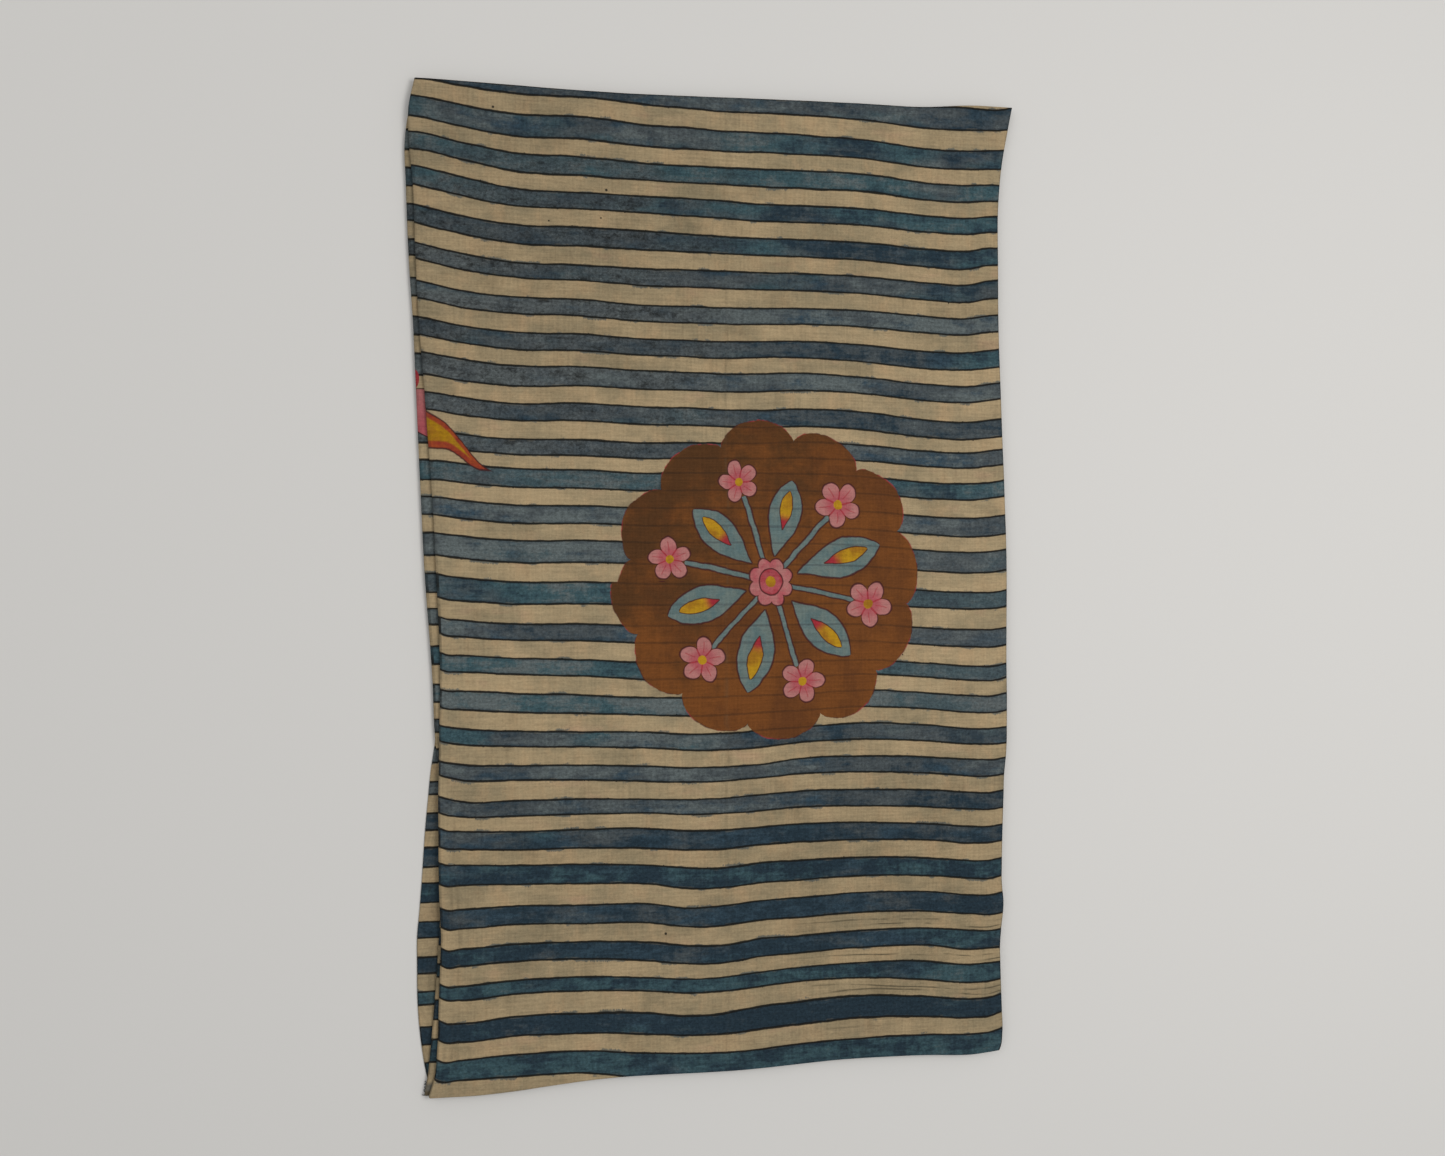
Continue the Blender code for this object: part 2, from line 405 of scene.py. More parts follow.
def stripe_borders(side):
    """Heights of every painted line at one side, blue bands' tops and bottoms in turn."""
    blue = read_column(STRIPES, STRIPE_COLUMNS, "blue_" + side)
    plain = read_column(STRIPES, STRIPE_COLUMNS, "plain_" + side)
    start = STRIPES_START_LEFT if side == "left" else STRIPES_START_RIGHT
    steps = np.stack([blue, plain], axis=1).ravel()
    return start - np.concatenate([[0], np.cumsum(steps)])


def sag_at(across, up, left, right):
    """How far the painted lines hang below a straight run at each point of the top layer."""
    heights, *columns = np.array(SAGS, dtype=float).T
    sags = np.stack([smooth_between(heights, column, up) for column in columns], axis=1)
    places = [np.full_like(up, place) for place in SAG_PLACES]
    stations = np.stack([left, left + NEAR_FOLD, *places, right - NEAR_RIGHT, right], axis=1)
    return np.array([
        smooth_between(stations[i], sags[i], across[i]) for i in range(len(up))])


def shift_at(depth, up):
    """How far down the stripes stand at the left folds of a layer under the top one."""
    heights = read_column(SHIFTS, SHIFT_COLUMNS, "up")
    middle = smooth_between(heights, read_column(SHIFTS, SHIFT_COLUMNS, "middle_fold"), up)
    bottom = smooth_between(heights, read_column(SHIFTS, SHIFT_COLUMNS, "bottom_end"), up)
    return middle * np.clip(depth - 1, 0, 1) + (bottom - middle) * np.clip(depth - 3, 0, 1)


def paint_coordinates(station, across, up):
    """Stripe number, signed distance into the blue and its paleness, for one column of points."""
    kind, layer, share = station
    depth = layer if kind == "layer" else layer + share
    left = edge_at("top_fold", up)
    right = edge_at("right_edge", up)
    side_share = np.clip((across - left) / (right - left), 0, 1)
    sag = sag_at(across, up, left, right) * (1 - min(depth, 1))
    looked_up = up + sag + shift_at(depth, up) * (1 - side_share)
    left_lines = stripe_borders("left")
    right_lines = stripe_borders("right")
    lines = left_lines + side_share[:, None] * (right_lines - left_lines)
    tops = lines[:, 0::2][:, :len(STRIPES)].copy()
    bottoms = lines[:, 1::2].copy()
    top_edge = selvedge_at("top", across) - layer_back(depth, "top_back")
    sliver = smooth_between(SLIVER_ACROSS, SLIVER_DEPTH, across)
    tops[:, 0] = top_edge - sliver + looked_up - up
    bottoms[:, -1] -= smooth_between(LAST_BLUE_ACROSS, LAST_BLUE_EXTRA, across)
    looked = looked_up[:, None]
    dye_edge = np.minimum(tops - looked, looked - bottoms).max(axis=1)
    places = np.arange(lines.shape[1]) / 2
    number = np.array([
        np.interp(-looked_up[i], -lines[i], places) for i in range(len(up))])
    band = np.clip(np.floor(number + 0.25), 0, len(STRIPES) - 1).astype(int)
    return number, dye_edge, read_column(STRIPES, STRIPE_COLUMNS, "paleness")[band]


def painted_crease_shade_at(depth, across, up):
    """How much painted shade lies along the sharp creases at each point."""
    painted_crease_shade = np.zeros_like(up)
    for row in CREASES:
        crease = dict(zip(CREASE_COLUMNS, row))
        if crease["half_width"] <= SHARP_CREASE:
            painted_crease_shade = painted_crease_shade + crease_share(crease, across, up, CREASE_SHADE_HALF_WIDTH)
    if depth > 3:
        crease = dict(zip(CREASE_COLUMNS, STRIP_CREASE))
        painted_crease_shade = painted_crease_shade + crease_share(crease, across, up, crease["half_width"])
    return np.clip(painted_crease_shade, 0, 1)


class Socket:
    """A node's output that takes part in sums."""

    def __init__(self, shade, output):
        self.shade = shade
        self.output = output

    def __add__(self, other):
        return self.shade.math("ADD", self, other)

    def __sub__(self, other):
        return self.shade.math("SUBTRACT", self, other)

    def __mul__(self, other):
        return self.shade.math("MULTIPLY", self, other)

    def __truediv__(self, other):
        return self.shade.math("DIVIDE", self, other)

    def __pow__(self, other):
        return self.shade.math("POWER", self, other)

    def __neg__(self):
        return self.shade.math("MULTIPLY", self, -1.0)

    def __abs__(self):
        return self.shade.math("ABSOLUTE", self)

    def __rsub__(self, other):
        return self.shade.math("SUBTRACT", other, self)

    __radd__ = __add__
    __rmul__ = __mul__


class Shade:
    """A material's nodes, written as expressions."""

    def __init__(self, name):
        self.material = bpy.data.materials.new(name)
        self.material.use_nodes = True
        self.nodes = self.material.node_tree.nodes
        self.links = self.material.node_tree.links
        self.shader = self.nodes["Principled BSDF"]

    def feed(self, entry, value):
        if isinstance(value, Socket):
            self.links.new(value.output, entry)
        else:
            entry.default_value = value

    def node(self, kind, settings=(), sockets=()):
        made = self.nodes.new(kind)
        for name, value in dict(settings).items():
            setattr(made, name, value)
        for name, value in dict(sockets).items():
            self.feed(made.inputs[name], value)
        return made

    def out(self, kind, settings=(), sockets=(), output=0):
        return Socket(self, self.node(kind, settings, sockets).outputs[output])

    def math(self, operation, first, second=0.0):
        return self.out("ShaderNodeMath", {"operation": operation}, {0: first, 1: second})

    def attribute(self, name):
        return self.out("ShaderNodeAttribute", {"attribute_name": name}, output="Fac")

    def step(self, value, low, high):
        """Rises softly from 0 to 1 as the value goes from low to high."""
        return self.out(
            "ShaderNodeMapRange", {"interpolation_type": "SMOOTHSTEP"},
            {"Value": value, "From Min": low, "From Max": high})

    def vector(self, x, y, z=0.0):
        return self.out("ShaderNodeCombineXYZ", sockets={0: x, 1: y, 2: z})

    def noise(self, vector, scale, detail=3.0, roughness=0.5):
        return self.out(
            "ShaderNodeTexNoise", sockets={
                "Vector": vector, "Scale": scale, "Detail": detail, "Roughness": roughness})

    def chance(self, value):
        """A steady random number from 0 to 1 for each value."""
        return self.out("ShaderNodeTexWhiteNoise", {"noise_dimensions": "1D"}, {"W": value})

    def mix(self, factor, under, over, blend="MIX"):
        return self.out(
            "ShaderNodeMix", {"data_type": "RGBA", "blend_type": blend},
            {0: factor, 6: under, 7: over}, output=2)

    def set(self, **sockets):
        for name, value in sockets.items():
            self.feed(self.shader.inputs[name.replace("_", " ")], value)


def colour(red, green, blue):
    return (red, green, blue, 1.0)


CREAM = colour(0.356, 0.264, 0.150)
CREAM_GREY = colour(0.240, 0.190, 0.113)
CREAM_WARM = colour(0.388, 0.264, 0.144)
ROSY = colour(0.385, 0.244, 0.150)
NAVY = colour(0.014, 0.028, 0.040)
SLATE = colour(0.054, 0.064, 0.068)
DEEP_BLUE = colour(0.026, 0.049, 0.068)
TEAL = colour(0.037, 0.075, 0.086)
GREY_BLUE = colour(0.095, 0.112, 0.111)
WORN_GREY = colour(0.080, 0.088, 0.088)
BLEED = colour(0.050, 0.072, 0.078)
# Ink black, also used as painted shade on the rims of folds over the blue
INK_AND_SHADE = colour(0.008, 0.008, 0.007)
BROWN = colour(0.148, 0.050, 0.012)
BROWN_MID = colour(0.103, 0.036, 0.011)
BROWN_OLIVE = colour(0.060, 0.027, 0.010)
PALE_BLUE = colour(0.084, 0.128, 0.128)
WASHED_BLUE = colour(0.126, 0.158, 0.142)
PINK = colour(0.352, 0.142, 0.130)
DEEP_PINK = colour(0.330, 0.072, 0.082)
RED = colour(0.270, 0.022, 0.030)
LEAF_RED = colour(0.205, 0.028, 0.016)
LEAF_ORANGE = colour(0.262, 0.050, 0.015)
LEAF_YELLOW = colour(0.310, 0.160, 0.006)
YELLOW = colour(0.380, 0.205, 0.010)
OCHRE = colour(0.270, 0.120, 0.010)
DARK_RED = colour(0.045, 0.010, 0.010)
# Soil brown, also used as painted shade on fold rims and along sharp creases
SOIL_AND_SHADE = colour(0.085, 0.068, 0.040)

# Half the width of the dark line round each blue band
LINE_HALF = 1.15

# The roundel: its place, its lobes, and what is set round its rosette
ROUNDEL_ACROSS = 56
ROUNDEL_UP = -4
ROUNDEL_LOBES = 12
ROUNDEL_NOTCH_RADIUS = 160
ROUNDEL_LOBE_RISE = 18
SPRAYS = 6
LEAF_START, LEAF_END, LEAF_HALF_WIDTH = 30, 126, 21
SEED_START, SEED_END, SEED_HALF_WIDTH = 62, 112, 8
STALK_START, STALK_END, STALK_HALF_WIDTH = 22, 100, 3.0
BLOSSOM_OUT = 118
BLOSSOM_PETALS = 5
BLOSSOM_NOTCH_RADIUS = 13
BLOSSOM_PETAL_RISE = 12
ROSETTE_PETALS = 8
ROSETTE_NOTCH_RADIUS = 21
ROSETTE_PETAL_RISE = 6
ROSETTE_CORE_RADIUS = 14

# The strip that shows beside the top fold: a petal with a slanting lower end, a bud above it,
# and the frayed corner at its foot
STRIP_END = -322
PETAL_ACROSS = -336
PETAL_BOTTOM, PETAL_BOTTOM_SLOPE = 158, 0.5
PETAL_TOP = 203
BUD_ACROSS, BUD_UP = -336.8, 213.5
BUD_HALF_ACROSS, BUD_HALF_UP = 5.5, 10.5
FRAYED_BELOW = 539

# The leaf tip on the top layer: its upper and lower edges at the fold, how steeply each falls,
# how far each then bends down, how wide its border is there, and what its slant takes off
TOP_LAYER_START = -350
LEAF_TIP_START = -323
LEAF_TIP_TOP, LEAF_TIP_BOTTOM = 178.5, 139.8
LEAF_TIP_TOP_SLOPE, LEAF_TIP_BOTTOM_SLOPE = 0.62, 0.05
LEAF_TIP_TOP_BEND, LEAF_TIP_BOTTOM_BEND = 21.5, 20.3
LEAF_TIP_TOP_BORDER, LEAF_TIP_BOTTOM_BORDER = 6.0, 7.5
LEAF_TIP_SLANT = 0.84


def filled(s, inside):
    """1 within a painted shape and 0 outside it, over a slightly soft edge."""
    return s.step(inside, -0.3, 0.4)


def outline(s, inside, half):
    """A thin line where a shape's inside distance passes nought."""
    return (1 - s.step(abs(inside), half - 0.35, half + 0.45)) * 0.85


def dabbed(s, wet):
    """Yellow paint, thicker and browner where it stayed wet."""
    return s.mix(wet, YELLOW, OCHRE)


def painted_face(name, strength):
    """The painted cotton. strength is how much of the paint shows, less on the cloth's back."""
    s = Shade(name)
    place = s.out("ShaderNodeUVMap", {"uv_map": "painted"})
    split = s.node("ShaderNodeSeparateXYZ", sockets={0: place})
    x = Socket(s, split.outputs[0]) * (1 / MM)
    y = Socket(s, split.outputs[1]) * (1 / MM)
    number = s.attribute("stripe")

    def grain(across_mm, up_mm, detail=3.0, roughness=0.5, shift=0.0):
        """Noise whose patches are about as many millimetres across and up as asked."""
        spot = s.vector(x * (1 / across_mm) + shift, y * (1 / up_mm) + shift)
        return s.noise(spot, 1.0, detail, roughness)

    wobble = (grain(34, 34, 2) - 0.5) * 2.0 + (grain(7, 7, 2, shift=7) - 0.5) * 0.8
    into_blue = s.attribute("dye_edge") + wobble
    paint = paint_bands(s, x, y, grain, number, into_blue, strength)
    line = band_line(s, grain, into_blue)
    paint = s.mix(line * (0.96 * strength), paint, INK_AND_SHADE)
    paint = faint_stripe_lines(s, paint, x, y, grain, number, strength)
    paint = paint_ink_spots(s, paint, x, y, strength)
    paint = paint_roundel(s, paint, x, y, grain, line, strength)
    paint = paint_leaf_tips(s, paint, x, y, grain, strength)
    paint = paint_under_fold(s, paint, y, strength)
    # Painted shade along the rims of folds and edges, and along the sharp creases
    paint = shade_fold_rims(s, paint, x, y, grain, into_blue)

    threads = thread_relief(grain)
    # Painted light: brighter across the middle of the cloth, darker at its upper left and lower
    # right
    tone = threads + 0.965 + painted_light_falloff(s, x, y)
    paint = s.mix(1.0, paint, s.vector(tone, tone, tone), "MULTIPLY")
    s.set(Base_Color=paint, Roughness=0.94)
    s.shader.inputs["Specular IOR Level"].default_value = 0.12

    height = threads * 2.2 + grain(18, 30, 3, shift=31) * 1.4 + grain(0.9, 0.9, 1, shift=89) * 0.4
    bump = s.out(
        "ShaderNodeBump", sockets={"Strength": 0.40, "Distance": 0.0006, "Height": height})
    s.set(Normal=bump)
    return s.material


def plain_cotton(s, grain):
    """Unpainted cotton, mottled by its first tannin bath."""
    cotton = s.mix(s.step(grain(90, 50, 5, 0.65), 0.32, 0.66), CREAM_GREY, CREAM)
    cotton = s.mix(s.step(grain(30, 55, 5, 0.65, shift=3), 0.45, 0.74) * 0.7, cotton, CREAM_WARM)
    rosy = s.step(grain(60, 26, 3, 0.5, shift=37), 0.58, 0.78)
    cotton = s.mix(rosy * 0.5, cotton, ROSY)
    soil = s.step(grain(55, 90, 6, 0.7, shift=43), 0.46, 0.80)
    return s.mix(soil * 0.42, cotton, SOIL_AND_SHADE)


def thread_relief(grain):
    """Thick and thin threads, above and below nought."""
    slub_up = grain(2.4, 44, 3, shift=11)
    slub_across = grain(42, 2.6, 4, 0.7, shift=19)
    speck = grain(3.4, 2.4, 4, 0.75, shift=17)
    return (slub_up - 0.5) * 0.34 + (slub_across - 0.5) * 0.70 + (speck - 0.5) * 0.70


def painted_light_falloff(s, x, y):
    """Painted light: the cloth is brighter across the middle, darker at its upper left and lower
    right.
    """
    lit_middle = (1 - s.step(abs(y), 90, 330)) * 0.075
    upper_left = s.step(y, 80, 300) * (1 - s.step(x, -150, 150))
    lower_right = s.step(-y, 100, 300) * s.step(x, -100, 200)
    return lit_middle - (upper_left + lower_right) * 0.065


def paint_bands(s, x, y, grain, number, into_blue, strength):
    """Blue bands on the plain cotton, with gaps along their edges where the brush missed."""
    cotton = plain_cotton(s, grain)
    blue = brushed_blue(s, x, y, grain, number, into_blue)
    gap_edge = s.step(into_blue, 0.8, 1.2) * (1 - s.step(into_blue, 1.6, 2.6))
    missed = gap_edge * s.step(grain(22, 22, 3, 0.6, shift=23), 0.54, 0.66)
    blue = s.mix(missed * 0.20, blue, CREAM_GREY)

    # The dye creeps over its line here and there, in short feathers
    patches = s.step(grain(40, 24, 3, 0.6, shift=71), 0.50, 0.64)
    feather = patches * (0.6 + grain(1.6, 9, 3, 0.65, shift=73) * 6.0)
    crept = s.step(into_blue + feather, 0.0, 1.4) * patches
    cotton = s.mix(crept * 0.72, cotton, BLEED)
    return s.mix(s.step(into_blue, -0.3, 0.35) * strength, cotton, blue)


def band_line(s, grain, into_blue):
    """The uneven dark line drawn round each blue band."""
    blots = s.step(grain(4.5, 4.5, 2, shift=79), 0.64, 0.76) * 0.55
    line_half = LINE_HALF + (grain(16, 16, 2, shift=29) - 0.5) * 1.0 + blots
    return 1 - s.step(abs(into_blue) - line_half, -0.40, 0.35)


def paint_ink_spots(s, paint, x, y, strength):
    for across, up, reach in INK_SPOTS:
        away_x = x - across
        away_y = y - up
        away = s.math("SQRT", away_x * away_x + away_y * away_y)
        paint = s.mix((1 - s.step(away, reach * 0.7, reach * 1.4)) * 0.9 * strength, paint, INK_AND_SHADE)
    return paint


def shade_fold_rims(s, paint, x, y, grain, into_blue):
    """Painted shade along fold rounds, edges and sharp creases, most of it where the blue passes
    over.
    """
    rim = s.attribute("rim")
    painted_crease_shade = s.attribute("painted_crease_shade")
    # The painted shade on the rims is fainter at the upper left folds
    fainter_rim_shade = s.step(y, -10, 60) * (1 - s.step(x, -270, -230)) * 0.65
    rim_shade = (1 - s.step(rim, 0.3, 1.5)) * (1 - fainter_rim_shade)
    patchy = 0.45 + s.step(grain(40, 22, 3, 0.6, shift=83), 0.40, 0.62) * 0.45
    in_band = s.step(into_blue, -0.6, 0.4)
    # Painted shade on the rims: near black over the blue, a dull brown over the plain cotton
    paint = s.mix(rim_shade * in_band * patchy, paint, INK_AND_SHADE)
    paint = s.mix(rim_shade * (1 - in_band) * patchy * 0.60, paint, SOIL_AND_SHADE)
    # Painted shade along the sharp creases, fainter where the blue passes over
    return s.mix(painted_crease_shade * 0.28 * (1 - in_band * 0.75), paint, SOIL_AND_SHADE)


def brushed_blue(s, x, y, grain, number, into_blue):
    """Indigo laid on with a brush: long fades along a band, streaks, and rubbed grainy places."""
    band = s.math("FLOOR", number + 0.25)
    along = s.vector(x * (1 / 95) + s.chance(band + 57) * 40, band * 7.3 + y * (1 / 60))
    fade = s.noise(along, 1.0, 4.0, 0.6)
    streaks = grain(5, 22, 3, 0.6, shift=5)
    strokes = grain(60, 3.6, 4, 0.65, shift=9)
    patches = grain(24, 12, 5, 0.70, shift=13)
    lower = s.step(-y, 240, 330)
    depth = (fade - 0.5) * 2.0 + (patches - 0.5) * 1.7 + (streaks - 0.5) * 0.5
    depth = depth + (strokes - 0.5) * 0.65 + s.attribute("paleness") * 0.12
    # Painted light: the blue is paler across the middle of the cloth. It is also darker towards
    # the bottom.
    depth = depth + (1 - s.step(abs(y - 20), 160, 330)) * 0.18 - lower * 0.19 + 0.03
    depth = depth - s.step(x, 60, 240) * (1 - s.step(abs(y + 20), 210, 290)) * 0.18
    hue = s.step(s.chance(band + 91) + (grain(120, 60, 3, shift=139) - 0.5) * 2.2, 0.36, 0.76)
    deep = s.step(grain(70, 30, 3, 0.6, shift=149) + lower * 0.14, 0.50, 0.68)
    cold = s.mix(deep, SLATE, DEEP_BLUE)
    blue = s.mix(s.step(depth, -0.46, 0.08), NAVY, s.mix(hue, cold, TEAL))
    blue = s.mix(s.step(depth, 0.04, 0.58), blue, GREY_BLUE)
    pooled = (1 - s.step(into_blue, 0.8, 4.2)) * s.step(grain(50, 18, 3, 0.6, shift=59), 0.40, 0.6)
    blue = s.mix(pooled * 0.5, blue, NAVY)

    # The upper left has been rubbed, and shows black and grey clouds with a fine grain
    rubbed = (1 - s.step(x, -90, 70)) * s.step(y, 60, 170) * (1 - s.step(y, 430, 500))
    rubbed = rubbed * s.step(grain(80, 30, 3, 0.5, shift=97), 0.34, 0.54) + 0.08
    greyed = s.step(x, 130, 250) * (1 - s.step(abs(y + 64), 95, 150)) * 0.45
    dull = s.mix(s.step(depth, -0.3, 0.5), SLATE, WORN_GREY)
    blue = s.mix(rubbed * 0.7 + greyed, blue, dull)
    clouds = s.step(grain(19, 12, 6, 0.80, shift=101), 0.46, 0.66)
    blue = s.mix(clouds * rubbed * 0.72, blue, INK_AND_SHADE)
    pale = s.step(grain(8, 6, 5, 0.75, shift=151), 0.56, 0.70) * (rubbed + 0.12)
    blue = s.mix(pale * 0.45, blue, GREY_BLUE)
    fine = 1 + (grain(3.6, 3.0, 5, 0.80, shift=103) - 0.5) * 3.2
    return s.mix(0.70 + rubbed * 0.28, blue, s.vector(fine, fine, fine), "MULTIPLY")


def faint_stripe_lines(s, paint, x, y, grain, number, strength):
    """Faint dark lines along the lowest plain stripes, near the right edge."""
    within = s.math("FRACT", number)
    there = s.step(x, 40, 170) * s.step(-y, 364, 376) * (1 - s.step(-y, 505, 520))
    for middle, shift in ((0.70, 3), (0.86, 8)):
        away = abs(within - middle - (grain(150, 120, 2, shift=shift + 40) - 0.5) * 0.34)
        broken = s.step(grain(60, 30, 3, 0.6, shift=shift), 0.42, 0.58)
        drawn = (1 - s.step(away, 0.010, 0.030)) * broken
        paint = s.mix(drawn * there * 0.8 * strength, paint, SOIL_AND_SHADE)
    return paint


def paint_under_fold(s, paint, y, strength):
    """Ends of a painted leaf on the narrow strip that shows beside the top fold."""
    depth = s.attribute("depth")
    spot = s.node("ShaderNodeTexCoord")
    split = s.node("ShaderNodeSeparateXYZ", sockets={0: Socket(s, spot.outputs["Object"])})
    across = Socket(s, split.outputs[0]) * (1 / MM)
    on_strip = s.step(depth, 1.5, 1.6) * (1 - s.step(depth, 2.5, 2.6))
    shown = on_strip * (1 - s.step(across, STRIP_END, STRIP_END + 3))
    low = PETAL_BOTTOM - (across - PETAL_ACROSS) * PETAL_BOTTOM_SLOPE
    petal = s.step(y - low, 0, 1) * (1 - s.step(y, PETAL_TOP - 1, PETAL_TOP)) * shown
    wash = s.step(-y, -200, -160)
    paint = s.mix(petal * strength, paint, s.mix(0.35 + wash * 0.65, PINK, DEEP_PINK))
    for away in (abs(y - low), abs(y - PETAL_TOP)):
        border = 1 - s.step(away, 0.4, 1.1)
        paint = s.mix(border * shown * 0.85 * strength, paint, DARK_RED)
    bud_across = (across - BUD_ACROSS) * (1 / BUD_HALF_ACROSS)
    bud_up = (y - BUD_UP) * (1 / BUD_HALF_UP)
    bud = 1 - s.step(bud_across * bud_across + bud_up * bud_up, 0.85, 1.05)
    paint = s.mix(bud * shown * strength, paint, RED)

    # The lowest corner of the strip is frayed and dark
    in_layers = s.step(depth, 0.6, 1.0) * (1 - s.step(depth, 3.0, 3.4))
    frayed = in_layers * s.step(-y, FRAYED_BELOW, FRAYED_BELOW + 7)
    tone = s.mix(s.step(-y, FRAYED_BELOW + 10, FRAYED_BELOW + 14), SLATE, INK_AND_SHADE)
    return s.mix(frayed * 0.75 * strength, paint, tone)


def paint_roundel(s, paint, x, y, grain, line, strength):
    """A brown lobed roundel with leaves and blossoms set round a small rosette."""
    dx = x - ROUNDEL_ACROSS + (grain(48, 48, 2, shift=41) - 0.5) * 8
    dy = y - ROUNDEL_UP + (grain(48, 48, 2, shift=47) - 0.5) * 8
    dx = dx + (grain(9, 9, 3, shift=107) - 0.5) * 2.2
    dy = dy + (grain(9, 9, 3, shift=109) - 0.5) * 2.2
    radius = s.math("SQRT", dx * dx + dy * dy)
    turn = s.math("ARCTAN2", dy, dx) * (1 / math.tau) + 1.0
    wash = s.step(grain(16, 22, 5, 0.7, shift=113), 0.34, 0.66)
    wet = s.step(grain(26, 26, 4, 0.6, shift=127), 0.42, 0.62)

    lobe = turn * ROUNDEL_LOBES + 0.3
    lobe_number = s.math("FLOOR", lobe)
    lobe_share = s.math("FRACT", lobe)
    arch = s.math("SINE", lobe_share * math.pi) ** 0.62
    reach = ROUNDEL_NOTCH_RADIUS + arch * (ROUNDEL_LOBE_RISE + (s.chance(lobe_number) - 0.5) * 9)
    inside = reach - radius
    ground = s.mix(s.step(grain(55, 80, 5, 0.62, shift=53), 0.36, 0.60), BROWN_MID, BROWN)
    olive = s.step(grain(60, 50, 5, 0.66, shift=131) + (dy - dx) * 0.0011, 0.46, 0.78)
    ground = s.mix(olive * 0.85, ground, BROWN_OLIVE)
    ground = s.mix(line * 0.30, ground, INK_AND_SHADE)
    paint = s.mix(filled(s, inside) * strength, paint, ground)
    ragged = s.step(grain(7, 7, 3, 0.6, shift=137), 0.38, 0.56)
    edging = s.mix(s.step(grain(30, 30, 2, shift=157), 0.42, 0.58), DARK_RED, RED)
    paint = s.mix(outline(s, inside, 0.7) * ragged * 0.75 * strength, paint, edging)

    paint = paint_leaves(s, paint, radius, turn, wash, wet, line, strength)
    paint = paint_blossoms(s, paint, radius, turn, wash, wet, strength)
    return paint_rosette(s, paint, radius, turn, wash, wet, strength)


def paint_leaves(s, paint, radius, turn, wash, wet, line, strength):
    """Pointed leaves that stand out from the rosette, each with a yellow seed in it."""
    spray = turn * SPRAYS + 0.2
    leaf_angle = (s.math("FRACT", spray) - 0.5) * (math.tau / SPRAYS)
    leaf_size = 0.92 + s.chance(s.math("FLOOR", spray) + 31) * 0.16
    along = radius * s.math("COSINE", leaf_angle) / leaf_size
    aside = abs(radius * s.math("SINE", leaf_angle)) / leaf_size
    leaf = leaf_inside(s, along, aside, LEAF_START, LEAF_END, LEAF_HALF_WIDTH)
    leaf_tone = s.mix(line * 0.5, s.mix(wash, PALE_BLUE, WASHED_BLUE), SLATE)
    paint = s.mix(filled(s, leaf) * strength, paint, leaf_tone)
    paint = s.mix(outline(s, leaf, 1.0) * strength, paint, DARK_RED)
    seed = leaf_inside(s, along, aside, SEED_START, SEED_END, SEED_HALF_WIDTH)
    paint = s.mix(filled(s, seed) * strength, paint, dabbed(s, wet))
    seed_base = filled(s, seed) * (1 - s.step(along, SEED_START + 10, SEED_START + 22))
    paint = s.mix(seed_base * strength, paint, RED)
    return s.mix(outline(s, seed, 0.6) * strength, paint, DARK_RED)


def paint_blossoms(s, paint, radius, turn, wash, wet, strength):
    """A round-petalled blossom on a straight stalk between each two leaves."""
    stem = turn * SPRAYS + 0.7
    stem_angle = (s.math("FRACT", stem) - 0.5) * (math.tau / SPRAYS)
    blossom_size = 0.90 + s.chance(s.math("FLOOR", stem) + 71) * 0.20
    out = radius * s.math("COSINE", stem_angle)
    off = radius * s.math("SINE", stem_angle)
    stalk = STALK_HALF_WIDTH - abs(off)
    before_end = 1 - s.step(out, STALK_END, STALK_END + 1)
    on_stalk = s.step(out, STALK_START, STALK_START + 1) * before_end
    stalk_tone = s.mix(wash, PALE_BLUE, WASHED_BLUE)
    paint = s.mix(filled(s, stalk) * on_stalk * strength, paint, stalk_tone)
    paint = s.mix(outline(s, stalk, 0.8) * on_stalk * strength, paint, DARK_RED)
    petal_x = (out - BLOSSOM_OUT) / blossom_size
    petal_y = off / blossom_size
    petal_radius = s.math("SQRT", petal_x * petal_x + petal_y * petal_y)
    petal_turn = s.math("ARCTAN2", petal_y, petal_x) * (BLOSSOM_PETALS / math.tau) + 5.5
    petal_share = s.math("FRACT", petal_turn)
    petal_rise = s.math("SINE", petal_share * math.pi) ** 0.7 * BLOSSOM_PETAL_RISE
    blossom = BLOSSOM_NOTCH_RADIUS + petal_rise - petal_radius
    petal_tone = s.mix(s.step(petal_radius + wash * 5, 8, 22), DEEP_PINK, PINK)
    paint = s.mix(filled(s, blossom) * strength, paint, petal_tone)
    parting = (0.5 - abs(petal_share - 0.5)) * petal_radius * (math.tau / BLOSSOM_PETALS)
    parted = (1 - s.step(parting, 0.5, 1.2)) * s.step(blossom, 0, 0.6)
    vein = abs(petal_share - 0.5) * petal_radius * (math.tau / BLOSSOM_PETALS)
    veined = (1 - s.step(vein, 0.3, 0.9)) * s.step(petal_radius, 7, 9) * s.step(blossom, 4, 6)
    paint = s.mix(parted * 0.8 * strength, paint, RED)
    paint = s.mix(veined * 0.55 * strength, paint, RED)
    paint = s.mix(outline(s, blossom, 0.9) * strength, paint, DARK_RED)
    return s.mix((1 - s.step(petal_radius, 4.5, 5.2)) * strength, paint, dabbed(s, wet))


